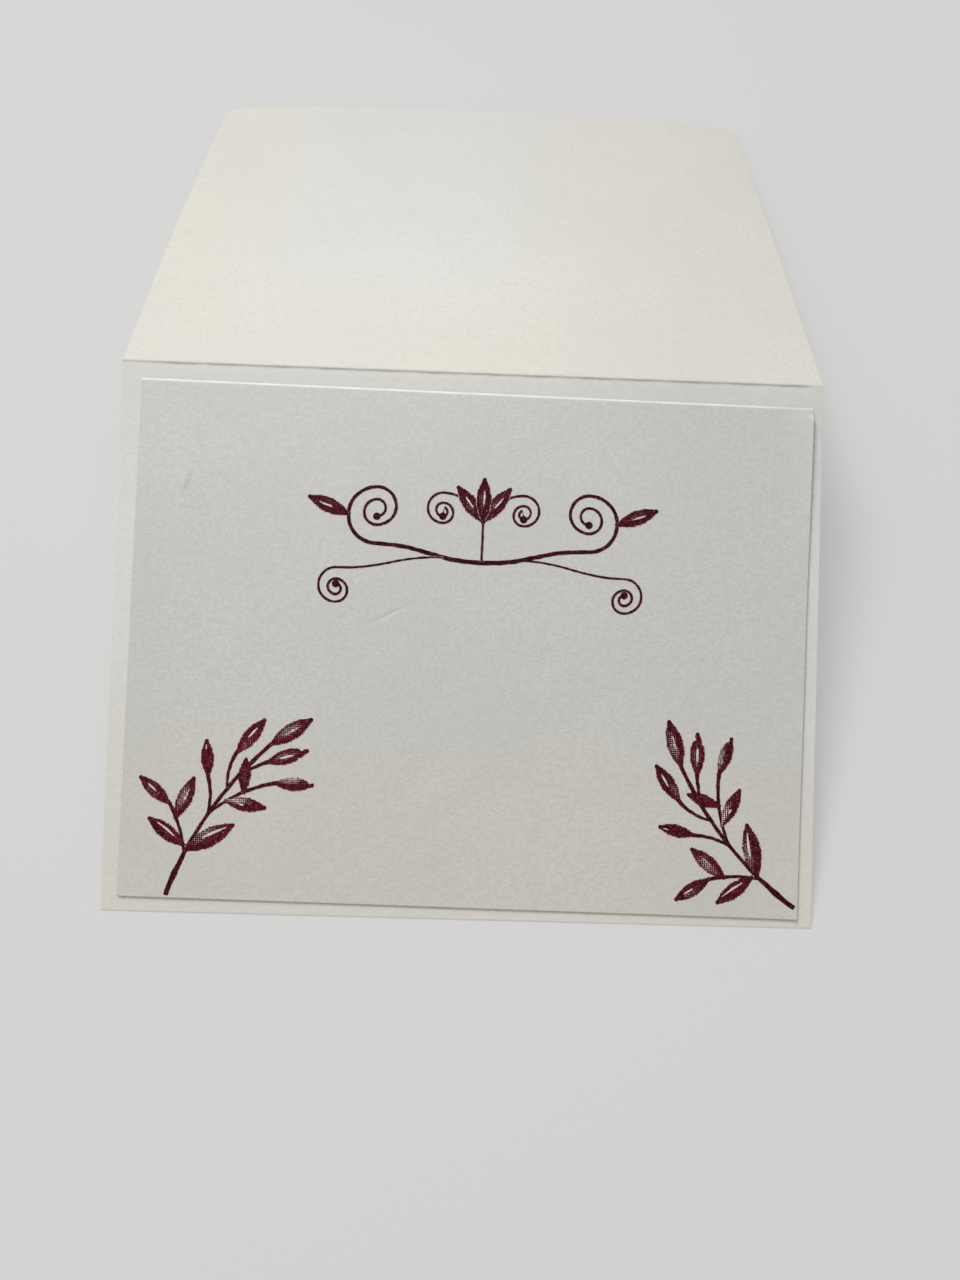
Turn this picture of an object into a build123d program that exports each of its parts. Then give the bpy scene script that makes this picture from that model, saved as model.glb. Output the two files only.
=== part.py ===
from build123d import *
import os
from math import cos, radians, sin

# A top-fold greeting card of heavy white paper, laid open with its inside up.
# The lined panel slopes down towards -Y and the cover falls away behind the fold, towards +Y,
# so the card stands on its two free edges as a low tent. Millimetres and degrees.

# Folded sheet
card_width = 139.7
panel_length = 107.95
sheet_thickness = 0.3
fold_angle = 32.8
crease_radius = 0.4
score_radius = 0.15
seam_length = 3.0

# Cover, which curls a little: its free edge arches between the two corners that it rests on,
# and half-way along it is crowned and its left edge bows up
edge_crown = 2.3
edge_shoulder = 2.05
middle_crown = 0.7
left_bow = 1.1

# Liner sheet, cut smaller than the panel by a margin and glued on a little low, right and askew
liner_margin = 3.175
liner_thickness = 0.25
liner_shift = 0.5
liner_drop = 0.8
liner_skew_angle = 0.5

# Double-sided tape under the liner, one strip along each edge
tape_thickness = 0.1
tape_width = 6.0
tape_inset = 4.0
tape_gap = 2.0

# Stamped ink
ink_thickness = 0.05

# Leaf: a pointed oval that is sunk a little in the stroke that carries it
leaf_length = 9.15
leaf_width = 2.95
leaf_base_pull = 3.0
leaf_tip_pull = 2.8
leaf_sink = 0.4

# Sprig
stem_length = 35.6
stem_bow = 2.3
stem_width = 0.95
twig_width = 0.7

# Twigs: share of the stem where each leaves, turn to the right, length in leaves, bow to the left as a share
# of that length, turn and size of its end leaf
twigs = [
    (0.245, -51.5, 1.11, -0.05, -82.5, 0.91),
    (0.49, -34.5, 0.82, -0.06, -37.5, 0.83),
    (0.49, 30.5, 1.57, 0.07, 58.5, 0.88),
    (0.665, -20, 0.80, 0.09, 5.5, 0.98),
    (0.84, 48.5, 0.385, 0.05, 39.5, 0.97),
]

# Leaves set straight on the stem, and on the twigs by their place in the list: share, turn and size
stem_leaves = [(0.265, 27.5, 1.21), (1.0, 23.5, 1.09)]
twig_leaves = {0: [(0.16, -86.5, 1.0), (0.70, -10.5, 1.0)], 2: [(0.30, 65.5, 0.92), (0.56, -30.5, 0.80)]}

# Places of the two sprigs, each with its root just inside an edge of the liner
left_root_inset = 9.5
left_root_rise = 0.5
left_sprig_angle = 32.6
right_root_inset = 0.65
right_root_rise = 2.25
right_sprig_angle = -40.8

# Pen flourish above the middle of the liner: one half is drawn and then mirrored
flourish_shift = 1.7
flourish_rise = 17.0
swash_width = 0.8
swash_reach = 21.0
swash_sag = 3.0
swash_curl = 5.6
swash_leaf_angle = 68
hairline_width = 0.55
tail_fork_ratio = 0.11
tail_reach = 28.5
tail_drop = 2.8
tail_curl = 3.4
scroll_reach = 8.0
scroll_rise = 13.6
scroll_curl = 3.0
scroll_start_angle = 30
lead_pull_ratio = 0.45
curl_half_turns = 4
curl_shrink_ratio = 0.67
bead_radius = 0.75
bud_rise = 8.2
bud_spread_angle = 38

# Tent that the two panels make
slope_angle = fold_angle / 2
rise = sin(radians(slope_angle))
run = cos(radians(slope_angle))
centre_shift = -edge_crown * rise / 2
front_foot = Vector(centre_shift - panel_length * run, 0)
ridge = Vector(centre_shift, panel_length * rise)
seam = ridge + Vector(run, -rise) * seam_length
ridge_top = ridge + Vector(0, sheet_thickness + crease_radius - crease_radius / run)

# Faces that the pieces are laid on, with local y pointing up the slope to the fold
liner_width = card_width - 2 * liner_margin
liner_height = panel_length - 2 * liner_margin
ridge_point = Vector(0, ridge.X, ridge.Y)
panel_face = Plane(ridge_point, x_dir=(1, 0, 0), z_dir=(0, -rise, run)).offset(sheet_thickness)
liner_middle = Location((liner_shift, -panel_length / 2 - liner_drop, 0), (0, 0, -liner_skew_angle))
tape_plane = Plane(panel_face.location * liner_middle)
liner_plane = tape_plane.offset(tape_thickness)
ink_plane = liner_plane.offset(liner_thickness)


def cover_section(station, bow, crown, shoulder):
    """Cross-section of the cover at a distance from the fold, its left edge raised by a bow."""
    away = Vector(0, run, -rise)
    half_width = card_width / 2
    with BuildSketch(Plane(ridge_point + away * station, x_dir=(1, 0, 0), z_dir=-away)) as section:
        with BuildLine():
            sides = []
            for level in (0, sheet_thickness):
                side = Spline(
                    (-half_width, level + bow),
                    (-half_width / 2, level + bow * 3 / 4 + shoulder),
                    (0, level + bow / 2 + crown),
                    (half_width / 2, level + bow / 4 + shoulder),
                    (half_width, level),
                )
                sides.append(side)
            Line(sides[0] @ 0, sides[1] @ 0)
            Line(sides[0] @ 1, sides[1] @ 1)
        make_face()
    return section.sketch


def heading(turn):
    """Unit step along +Y, turned to the right by an angle."""
    return Vector(sin(radians(turn)), cos(radians(turn)))


def place_leaf(base, turn, size=1):
    """Add one leaf to the sketch at hand, pointing along a heading and scaled by its size."""
    foot = base - heading(turn) * leaf_sink
    with Locations(Location((foot.X, foot.Y, 0), (0, 0, -turn))):
        add(scale(leaf.sketch, by=size, mode=Mode.PRIVATE))


def scroll(start, start_turn, curl_start, curl_radius, side):
    """Pen line that runs out level to a curl of shrinking half turns, up or down by its side."""
    pull = (curl_start.X - start.X) * lead_pull_ratio
    with BuildLine() as path:
        Bezier(start, start + heading(start_turn) * pull, curl_start - Vector(pull, 0), curl_start)
        point = curl_start
        radius = curl_radius
        for half_turn in range(curl_half_turns):
            outward = 1 - 2 * (half_turn % 2)
            middle = point + Vector(radius, side * radius) * outward
            end = point + Vector(0, 2 * side * radius) * outward
            ThreePointArc(point, middle, end)
            point = end
            radius = radius * curl_shrink_ratio
    return path.line


# One leaf, standing on its base
with BuildSketch() as leaf:
    with BuildLine():
        # A cubic with both pulls this far out is as wide as the leaf at its fullest
        pull_out = leaf_width * 2 / 3
        Bezier((0, 0), (pull_out, leaf_base_pull), (pull_out, leaf_length - leaf_tip_pull), (0, leaf_length))
        mirror(about=Plane.YZ)
    make_face()

# The sprig, with its root at the origin and its stem's chord along +Y
with BuildSketch() as sprig:
    with BuildLine():
        stem = SagittaArc((0, 0), (0, stem_length), stem_bow)
    trace(line_width=stem_width)
    for share, turn, size in stem_leaves:
        place_leaf(stem @ share, turn, size)
    for index, (share, turn, length, bow_ratio, end_turn, end_size) in enumerate(twigs):
        twig_length = length * leaf_length
        twig_end = stem @ share + heading(turn) * twig_length
        with BuildLine():
            twig = SagittaArc(stem @ share, twig_end, twig_length * bow_ratio)
        trace(line_width=twig_width)
        with Locations(stem @ share, twig_end):
            Circle(twig_width / 2)
        place_leaf(twig_end, end_turn, end_size)
        for twig_share, leaf_turn, size in twig_leaves.get(index, []):
            place_leaf(twig @ twig_share, leaf_turn, size)

# The flourish, with the lowest point of its swash at the origin
swash_end = Vector(swash_reach, swash_sag)
swash = scroll(Vector(0, 0), 90, swash_end, swash_curl, 1)
tail_start = swash @ tail_fork_ratio
tail = scroll(tail_start, 90, Vector(tail_reach, tail_start.Y - tail_drop), tail_curl, -1)
bud = Vector(0, bud_rise)
inner_scroll = scroll(bud, scroll_start_angle, Vector(scroll_reach, scroll_rise), scroll_curl, -1)
with BuildSketch() as flourish:
    for line, width in ((swash, swash_width), (tail, hairline_width), (inner_scroll, hairline_width)):
        trace(line, width)
        with Locations(line @ 1):
            Circle(bead_radius)
    place_leaf(swash_end + Vector(swash_curl, swash_curl), swash_leaf_angle)
    mirror(about=Plane.YZ)
    with BuildLine():
        Line((0, 0), bud)
    trace(line_width=hairline_width)
    for turn in (-bud_spread_angle, 0, bud_spread_angle):
        place_leaf(bud, turn)

# Folded sheet: flat lined panel and crease from one profile, then the curled cover
with BuildPart() as card_base:
    with BuildSketch(Plane.YZ):
        with BuildLine():
            FilletPolyline(front_foot, ridge, seam, radius=crease_radius)
            offset(amount=sheet_thickness, side=Side.LEFT)
        make_face()
    extrude(amount=card_width / 2, both=True)
    with BuildSketch(Plane.YZ):
        with Locations(ridge_top):
            Circle(score_radius)
    extrude(amount=card_width / 2, both=True, mode=Mode.SUBTRACT)
    cover_root = cover_section(seam_length, 0, 0, 0)
    cover_middle = cover_section(panel_length / 2, left_bow, middle_crown, middle_crown)
    cover_edge = cover_section(panel_length, 0, edge_crown, edge_shoulder)
    loft([cover_root, cover_middle, cover_edge])

# Tape strips
with BuildPart() as adhesive_strips:
    with BuildSketch(tape_plane):
        with GridLocations(0, liner_height - 2 * tape_inset - tape_width, 1, 2):
            Rectangle(liner_width - 2 * tape_inset, tape_width)
        with GridLocations(liner_width - 2 * tape_inset - tape_width, 0, 2, 1):
            Rectangle(tape_width, liner_height - 2 * (tape_inset + tape_width + tape_gap))
    extrude(amount=tape_thickness)

# Liner sheet
with BuildPart() as liner:
    with BuildSketch(liner_plane):
        Rectangle(liner_width, liner_height)
    extrude(amount=liner_thickness)

# Stamped sprigs, kept inside the liner's edges
left_root = (left_root_inset - liner_width / 2, left_root_rise - liner_height / 2, 0)
with BuildPart() as left_sprig_print:
    with BuildSketch(ink_plane):
        with Locations(Location(left_root, (0, 0, -left_sprig_angle))):
            add(sprig.sketch)
        Rectangle(liner_width, liner_height, mode=Mode.INTERSECT)
    extrude(amount=ink_thickness)

right_root = (liner_width / 2 - right_root_inset, right_root_rise - liner_height / 2, 0)
with BuildPart() as right_sprig_print:
    with BuildSketch(ink_plane):
        with Locations(Location(right_root, (0, 0, -right_sprig_angle))):
            add(sprig.sketch)
        Rectangle(liner_width, liner_height, mode=Mode.INTERSECT)
    extrude(amount=ink_thickness)

# Stamped flourish
with BuildPart() as flourish_print:
    with BuildSketch(ink_plane):
        with Locations((flourish_shift, flourish_rise)):
            add(flourish.sketch)
        Rectangle(liner_width, liner_height, mode=Mode.INTERSECT)
    extrude(amount=ink_thickness)

os.makedirs("parts", exist_ok=True)
pieces = {
    "card_base": card_base,
    "adhesive_strips": adhesive_strips,
    "liner": liner,
    "left_sprig_print": left_sprig_print,
    "right_sprig_print": right_sprig_print,
    "flourish_print": flourish_print,
}
for name, piece in pieces.items():
    piece.part.label = name
    export_step(piece.part, f"parts/{name}.step")
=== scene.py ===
from math import atan, cos, exp, pi, radians, sin, sqrt, tan

import bmesh
import bpy
from mathutils import Matrix, Vector
from mathutils.kdtree import KDTree


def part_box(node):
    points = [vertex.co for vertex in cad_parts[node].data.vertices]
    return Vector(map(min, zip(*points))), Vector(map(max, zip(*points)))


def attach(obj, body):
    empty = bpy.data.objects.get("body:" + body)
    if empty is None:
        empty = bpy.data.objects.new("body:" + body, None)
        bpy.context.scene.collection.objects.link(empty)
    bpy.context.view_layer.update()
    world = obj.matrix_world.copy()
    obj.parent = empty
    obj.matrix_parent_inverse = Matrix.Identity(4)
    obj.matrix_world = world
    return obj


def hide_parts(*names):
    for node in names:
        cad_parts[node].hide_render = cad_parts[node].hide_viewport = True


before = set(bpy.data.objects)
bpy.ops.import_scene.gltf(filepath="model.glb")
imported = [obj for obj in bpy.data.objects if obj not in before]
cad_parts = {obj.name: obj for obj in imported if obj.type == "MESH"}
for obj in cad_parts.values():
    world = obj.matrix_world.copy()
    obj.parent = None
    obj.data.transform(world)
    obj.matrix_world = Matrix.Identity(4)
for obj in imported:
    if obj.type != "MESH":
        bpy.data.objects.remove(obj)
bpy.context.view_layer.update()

# A top-fold greeting card, laid open as a low tent with its inside up.
# Sizes are in millimetres and degrees, and each finished mesh is scaled to metres.
# A span is two values: what it rules eases in from the first to the second.
mm_per_metre = 1000
scene = bpy.context.scene

# Folded sheet
card_width = (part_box("card_base")[1][0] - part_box("card_base")[0][0]) * mm_per_metre
panel_length = 107.95
sheet_thickness = 0.3
fold_angle = 32.8
crease_radius = 0.4
cut_edge_radius = 0.06
seam_length = 3.0
edge_crown = 2.3
edge_shoulder = 2.05
middle_crown = 0.7
left_bow = 1.1
cover_calm_share = 0.2

# Score line along the fold, pressed less hard near its two ends
score_depth = 0.24
score_half_width = 0.33
score_offset = 0.14
score_press = 0.8
score_left_share = 0.6
score_left_inset = 12
score_right_loss = 0.8
score_right_insets = (5, 0.6)
# The painted shade along the score line goes on the upper face only
score_shade_upper_share = 0.6

# Small nick in the right edge
nick_depth = 0.45
nick_half_length = 0.35
nick_station = -5.0
nick_insets = (0.95, 0.05)

# Liner sheet and the tape that holds it
liner_margin = 3.175
liner_width = card_width - 2 * liner_margin
liner_height = panel_length - 2 * liner_margin
liner_thickness = 0.25
liner_edge_radius = 0.015
liner_shift = 0.5
liner_drop = 0.8
liner_skew_angle = 0.5
liner_rest_lift = 0.17
tape_thickness = 0.1
top_roll_depth = 0.24
top_roll_width = 0.48
top_roll_power = 1.3
side_roll_depth = 0.06
side_roll_width = 0.10
right_lift = 0.65
right_lift_width = 7.0
right_fade = 0.75
right_fade_span = (3, 45)
corner_hold_span = (0.4, 2.6)
bottom_lift = 0.06
bottom_lift_start = 42

# Painted highlight along the top cut edge of the liner, fainter near its right end
highlight_share = 0.85
highlight_right_loss = 0.55
highlight_right_insets = (14, 2)
highlight_roll_share = 0.6
highlight_upper_share = 0.5

# Small dents and creases of the liner: place, turn, height, half length and half width
liner_marks = [
    (-57.2, 30.8, 8, 0.26, 1.6, 0.75),
    (-57.2, 31.5, -8, 0.16, 6.0, 4.0),
    (-16.1, 6.0, 61, -0.11, 3.4, 0.4),
    (14.5, -2.4, 55, -0.09, 4.5, 2.2),
    (17.5, 42.0, 60, -0.08, 4.0, 2.2),
    (-2.0, -27.0, 62, 0.10, 10.0, 3.5),
]

# Waves along a line: height, rate and start
score_wander_waves = [(0.03, 0.9, 0), (0.025, 0.37, 1)]
score_press_waves = [(0.12, 0.61, 0), (0.08, 1.7, 2)]
highlight_waves = [(0.15, 0.7, 0)]

# Crossed waves over a face: height, then turns along x, turns along y and start of each of the two
cover_waves = [(0.09, (0.9, 0, 0.1), (0.3, 1.4, 0))]
liner_waves = [
    (0.03, (1 / 61, 0, 0.15), (0, 1 / 47, 0.4)),
    (0.012, (1 / 23, -1 / 31, 0.2), (1 / 71, 1 / 53, 0)),
]

# Painted warm light and painted paler panel, by distances from the fold or from the middle
panel_cream_span = (56, 102)
panel_painted_light_span = (6, 40)
cover_left_cream_span = (36, 68)
cover_right_cream_span = (-4, 44)
cover_fold_cream_span = (2, 36)

# Grid lines of the sheets: counts of the even ones, and places of finer ones
card_column_count = 70
card_row_count = 88
liner_column_count = 110
liner_row_count = 84
fold_steps = (0.06, 0.12, 0.18, 0.25, 0.34, 0.5, 0.9, 1.6)
side_insets = (0.2, 0.5, 0.9)
end_insets = (0.2, 0.5)
rim_insets = (0.02, 0.05, 0.1, 0.16, 0.24, 0.32, 0.4, 0.5, 0.9)
corner_drops = (1.1, 1.3, 1.5, 1.7, 1.9, 2.1, 2.4, 2.7)
nick_steps = 4
fine_mark_width = 1
fine_mark_reach = 1.2
least_step = 0.01

# Edges of the meshes
edge_segments = 2
round_profile = 0.5
rim_angle = 60
crisp_angle = 40

# Stamped ink: thin films, each a step above the last
film_thickness = 0.05
film_step = 0.0015
trim_tolerance = 0.00001
print_marks = ("hatch", "sliver", "rim", "stroke")

# Leaves
leaf_length = 9.15
leaf_width = 2.95
leaf_base_pull = 3.0
leaf_tip_pull = 2.8
leaf_sink = 0.4
leaf_end_half_width = 0.42
leaf_end_share = 0.955
leaf_end_fullness = 1.02
leaf_spread = 0.06
leaf_columns = 22
leaf_rows = 44

# Wavers of a leaf's outline: height, rate along the leaf, rate by its turn and rate across it
leaf_wavers = [(0.03, 23, 1, 2), (0.025, 47, 2, -1), (0.045, 92, 3, 2)]

# Stem, twigs and other strokes
stem_length = 35.6
stem_bow = 2.3
stem_widths = (0.95, 1.2, 0.85, 0.74, 0.76, 0.78, 0.88, 0.88, 0.8)
stem_rows = 120
stem_unevenness = 0.07
twig_widths = (0.57, 0.68, 0.85)
twig_rows_per_leaf = 40
twig_least_rows = 12
twig_unevenness = 0.08
stroke_columns = 4
stroke_fade = 0.3
tangent_share = 0.002

# Wavers of a stroke's two edges: rate by its rows, rate across it and start
stroke_wavers = [(0.55, 0.6, 0), (0.23, 2, 1)]

# How far the ragged outline is kept off leaf ends, strokes, beads and joins
leaf_end_guard = 0.14
leaf_base_span = (0.03, 0.12)
leaf_tip_span = (0.86, 0.96)
stroke_guard = 0.09
bead_guard = 0.25
join_guard = 0.25
join_reach = 0.5
join_samples = 100

# Twigs: share of the stem where each leaves, turn to the right, length in leaves, bow to the left
# as a share of that length, turn and size of its end leaf
twigs = [
    (0.245, -51.5, 1.11, -0.05, -82.5, 0.91),
    (0.49, -34.5, 0.82, -0.06, -37.5, 0.83),
    (0.49, 30.5, 1.57, 0.07, 58.5, 0.88),
    (0.665, -20, 0.80, 0.09, 5.5, 0.98),
    (0.76, 30.7, 0.658, 0.03, 39.5, 0.97),
]

# Leaves on the stem, and on the twigs by their place in the list: share, turn and size
stem_leaves = [(0.265, 27.5, 1.21), (1.0, 23.5, 1.09)]
twig_leaves = {0: [(0.16, -86.5, 1.0), (0.70, -10.5, 1.0)], 2: [(0.30, 65.5, 0.92), (0.56, -30.5, 0.80)]}

# How each leaf took the ink, in the order of laying: share, place across and strength of a hatched patch,
# then share, place across, half length and strength of a bare sliver
leaf_prints = [
    (0.45, -0.55, 0.55, 0.60, -0.28, 0.26, 1.0),
    (0.48, -0.25, 0.62, 0.52, -0.05, 0.20, 0.5),
    (0.55, -0.30, 0.35, 0.60, 0.05, 0.14, 1.0),
    (0.50, 0.20, 0.20, 0.52, 0.28, 0.30, 0.9),
    (0.50, -0.30, 0.70, 0.55, 0.05, 0.25, 0.4),
    (0.30, 0.00, 0.08, 0.78, -0.15, 0.08, 0.9),
    (0.42, -0.70, 0.85, 0.35, -0.20, 0.08, 0.4),
    (0.25, -0.45, 1.00, 0.40, 0.10, 0.07, 0.8),
    (0.50, 0.10, 0.22, 0.50, 0.00, 0.10, 0.0),
    (0.25, 0.30, 0.40, 0.58, -0.10, 0.17, 1.0),
    (0.45, -0.10, 0.50, 0.48, 0.00, 0.17, 1.0),
]
plain_print = (0.50, -0.20, 0.30, 0.55, 0.05, 0.18, 0.7)
patch_gain = 0.62
patch_reach_along = 0.3
patch_reach_across = 0.6
sliver_slant = 0.25
sliver_half_width = 0.13
sliver_gain = 1.25

# Bites out of some leaves near their tips, by the same order: share, side and depth as a share of the
# half width. Spans of shares beyond a bite's own say where it opens and closes
leaf_bites = {6: [(0.84, -1, 0.50)], 10: [(0.80, -1, 0.50), (0.70, 1, 0.20)]}
bite_open_span = (-0.02, 0.01)
bite_close_span = (0.04, 0.13)

# Leaves with a slimmer tip than the rest, by the same order: its half width
slim_tips = {8: 0.14}

# Places of the two sprigs, each with its root just inside an edge of the liner
left_root_inset = 9.5
left_root_rise = 0.5
left_sprig_angle = 32.6
right_root_inset = 0.65
right_root_rise = 2.25
right_sprig_angle = -40.8

# Pen flourish: one half is drawn and then mirrored
flourish_shift = 1.7
flourish_rise = 17.0
level_turn = 90
swash_widths = (0.96, 0.55)
swash_rows = 260
swash_reach = 21.0
swash_sag = 3.0
swash_curl = 5.6
swash_leaf_angle = 68
tail_widths = (0.44, 0.605)
tail_rows = 200
tail_fork_ratio = 0.11
tail_reach = 28.5
tail_drop = 2.8
tail_curl = 3.4
hairline_widths = (0.55, 0.55)
scroll_rows = 130
scroll_reach = 8.0
scroll_rise = 13.6
scroll_curl = 3.0
scroll_start_angle = 30
stalk_rows = 40
pen_unevenness = 0.06
lead_pull_ratio = 0.45
lead_samples = 32
curl_half_turns = 4
curl_shrink_ratio = 0.67
bead_radius = 0.75
bead_segments = 24
bud_rise = 8.2
bud_spread_angle = 38

# Colours
# card_cream and liner_cream are the tints of painted warm light
card_white = (0.818, 0.814, 0.780, 1)
card_cream = (0.828, 0.800, 0.735, 1)
liner_white = (0.755, 0.750, 0.715, 1)
liner_cream = (0.800, 0.765, 0.690, 1)
# Painted highlight colour for the liner's top cut edge
top_edge_painted_highlight = (0.96, 0.955, 0.93, 1)
# Painted light that makes the card's lined panel paler than its cover
panel_light_tint = (1.085, 1.08, 1.07, 1)
# Painted shade colour along the score line
score_painted_shade_grey = (0.30, 0.285, 0.25, 1)
speck_brown = (0.33, 0.31, 0.28, 1)
sprig_ink_deep = (0.011, 0.0010, 0.0020, 1)
sprig_ink_bright = (0.122, 0.0085, 0.0215, 1)
right_ink_deep = (0.006, 0.0007, 0.0013, 1)
right_ink_bright = (0.104, 0.0072, 0.0185, 1)
flourish_ink_deep = (0.011, 0.002, 0.0026, 1)
flourish_ink_bright = (0.080, 0.007, 0.016, 1)
ink_bleed = (0.50, 0.165, 0.20, 1)
bare_white = (0.780, 0.757, 0.700, 1)
tape_clear = (0.85, 0.85, 0.82, 1)
tape_dim = (0.80, 0.80, 0.76, 1)
floor_grey = (0.80, 0.80, 0.805, 1)
backdrop_grey = (0.665, 0.665, 0.665, 1)
sky_white = (0.985, 1.0, 1.02, 1)
window_white = (1.0, 0.985, 0.95)
near_white = (1.0, 0.97, 0.92)

# Noise textures: scale, detail and roughness
felt_noise = (2.4, 3.0, 0.65)
grain_noise = (0.9, 2.0, 0.5)
cloud_noise = (0.03, 2.0, 0.5)
fleck_noise = (2.6, 2.0, 0.6)
pinhole_noise = (4.2, 1.0, 0.5)
pool_noise = (0.55, 2.0, 0.6)
mottle_noise = (1.8, 2.0, 0.6)
tape_noise = (0.6, 2.0, 0.5)
mid_noise = 0.5

# Paper: shares of its tooth, tones of its clouds, painted shade in its pits, and how it shines
felt_share = 0.75
grain_share = 0.35
cloud_span = (0.25, 0.75)
speck_scale = 0.11
speck_span = (0.022, 0.012)
speck_strength = 0.45
shade_ratio = 0.965
light_ratio = 1.02
pit_shade_ratio = 0.90
pit_span = (0.68, 0.42)
cream_patch_range = (0.6, 1.4)
score_painted_shade_strength = 0.8
paper_roughness = (0.80, 0.95)
paper_specular = 0.25
tooth_strength = 0.6
card_tooth_depth = 0.16
card_pit_shade = 0.75
liner_tooth_depth = 0.2
liner_pit_shade = 0.95

# Ink: pitch of the stamp's dots, where it leaves the paper bare, where it is deep, and how it shines
dot_pitch = 0.78
patch_fleck = 0.9
patch_dots = 0.45
patch_level = 0.52
patch_span = (-0.06, 0.12)
patch_least_span = (0.04, 0.2)
rim_dots = 0.13
rim_fleck = 0.18
rim_span = (0.05, -0.12)
sliver_fleck = 1.1
sliver_span = (0.25, 0.5)
pinhole_span = (0.68, 0.76)
pinhole_strength = 0.55
outline_fleck = 0.5
outline_span = (0.30, 0.75)
outline_depth = 0.4
stroke_span = (0.75, 0.35)
pool_span = (0.48, 0.68)
pool_depth = 0.55
mottle_span = (0.46, 0.66)
mottle_depth = 0.85
thin_span = (0.42, 0.26)
thin_bleed = 0.15
fringe_bleed = 3.0
ink_roughness = (0.75, 0.9)
ink_specular = 0.08
ink_tooth_depth = 0.12

# Tape
tape_roughness = (0.25, 0.45)
tape_bump_depth = 0.05
tape_bump_strength = 0.4

# Stage: floor, lamps and sky, in metres apart from the span over which the floor fades
floor_half = 3
floor_drop = 0.00005
floor_roughness = 0.9
floor_far_span = (300, 1300)
floor_glow_range = (0.5, 1.0)
window_direction = Vector((-0.45, 0.44, 0.77)).normalized()
window_distance = 3.5
window_size = 1.4
window_power = 67.5
near_place = (-0.038, 0.02, 0.142)
near_size = 0.08
near_power = 0.0257
sky_strength = 0.364

# Camera: place in the panel's frame, turns about its axes in order, and lens
camera_offset = (-0.09, -56.12, 157.65)
camera_turns = (("X", 1.136), ("Y", -0.965), ("Z", 1.842))
camera_sensor = 36
camera_lens = 22.375
camera_near = 0.01

# Tent that the two panels make
slope = radians(fold_angle / 2)
rise = sin(slope)
run = cos(slope)
ridge = Vector((0, -edge_crown * rise / 2, panel_length * rise))
crease_centre = ridge - Vector((0, 0, crease_radius / run))
crease_tangent = crease_radius * tan(slope)
visible_radius = crease_radius + sheet_thickness
half_arc = visible_radius * slope
half_sheet = panel_length - crease_tangent + half_arc

# Frames that the pieces are built in: x along the fold, y up the slope, z out of the lined panel
to_metres = Matrix.Scale(1 / mm_per_metre, 4)
panel_frame = Matrix(((1, 0, 0, 0), (0, run, -rise, ridge.y), (0, rise, run, ridge.z), (0, 0, 0, 1)))
liner_middle = (liner_shift, -panel_length / 2 - liner_drop, sheet_thickness + tape_thickness)
liner_skew = Matrix.Rotation(radians(-liner_skew_angle), 4, "Z")
liner_frame = panel_frame @ Matrix.Translation(liner_middle) @ liner_skew


# Shape helpers
def smooth_step(value, start, end):
    """0 before start, 1 after end, and an even ease between them."""
    share = min(max((value - start) / (end - start), 0), 1)
    return share * share * (3 - 2 * share)


def near_right(x, half, insets):
    """How near a place is to the right edge, between two insets from it."""
    return smooth_step(x, half - insets[0], half - insets[1])


def hump(distance, reach):
    """1 at no distance, falling to nothing at about twice the reach."""
    return exp(-((distance / reach) ** 2))


def sway(place, waves):
    """Sum of waves along a line."""
    return sum(height * sin(place * rate + start) for height, rate, start in waves)


def ripple(x, y, waves):
    """Sum of crossed waves over a face."""
    total = 0
    for height, first, second in waves:
        for x_turns, y_turns, start in (first, second):
            height *= sin(2 * pi * (x * x_turns + y * y_turns + start))
        total += height
    return total


def heading(turn):
    """Unit step along +Y, turned to the right by an angle."""
    return Vector((sin(radians(turn)), cos(radians(turn)), 0))


def turned(place, turn):
    """Frame at a place, turned to the right by an angle."""
    return Matrix.Translation(place) @ Matrix.Rotation(radians(-turn), 4, "Z")


# Mesh helpers
def both_sides(half, insets):
    """Grid lines at insets from both edges."""
    return [side * (half - inset) for inset in insets for side in (-1, 1)]


def around(middle, pitch, steps):
    """Grid lines at an even pitch on both sides of a place."""
    return [middle + pitch * step for step in range(-steps, steps + 1)]


def stations(half, count, extra):
    """Places of the grid lines across a sheet: even ones, and extra ones where its shape is fine."""
    places = [-half, half]
    for place in extra + [half * (2 * step / count - 1) for step in range(count + 1)]:
        if all(abs(place - other) > least_step for other in places):
            places.append(place)
    return sorted(places)


def thick_sheet(columns, rows, thickness, edge_radius):
    """Flat sheet of paper with grid lines at stations, its underside at z = 0 and soft cut edges."""
    bm = bmesh.new()
    last_column = len(columns) - 1
    last_row = len(rows) - 1
    bmesh.ops.create_grid(bm, x_segments=last_column, y_segments=last_row, size=1)
    for vert in bm.verts:
        column = round((vert.co.x + 1) / 2 * last_column)
        row = round((vert.co.y + 1) / 2 * last_row)
        vert.co = (columns[column], rows[row], 0)
    bmesh.ops.solidify(bm, geom=bm.faces[:], thickness=thickness)
    lowest = min(vert.co.z for vert in bm.verts)
    bmesh.ops.translate(bm, vec=(0, 0, -lowest), verts=bm.verts)
    bmesh.ops.recalc_face_normals(bm, faces=bm.faces[:])
    rim = [edge for edge in bm.edges if edge.calc_face_angle(0) > radians(rim_angle)]
    look = {"segments": edge_segments, "profile": round_profile, "material": -1}
    bmesh.ops.bevel(bm, geom=rim, offset=edge_radius, offset_type="OFFSET", affect="EDGES", **look)
    return bm


def add_object(name, data):
    """New object in the scene."""
    thing = bpy.data.objects.new(name, data)
    scene.collection.objects.link(thing)
    return thing


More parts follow.
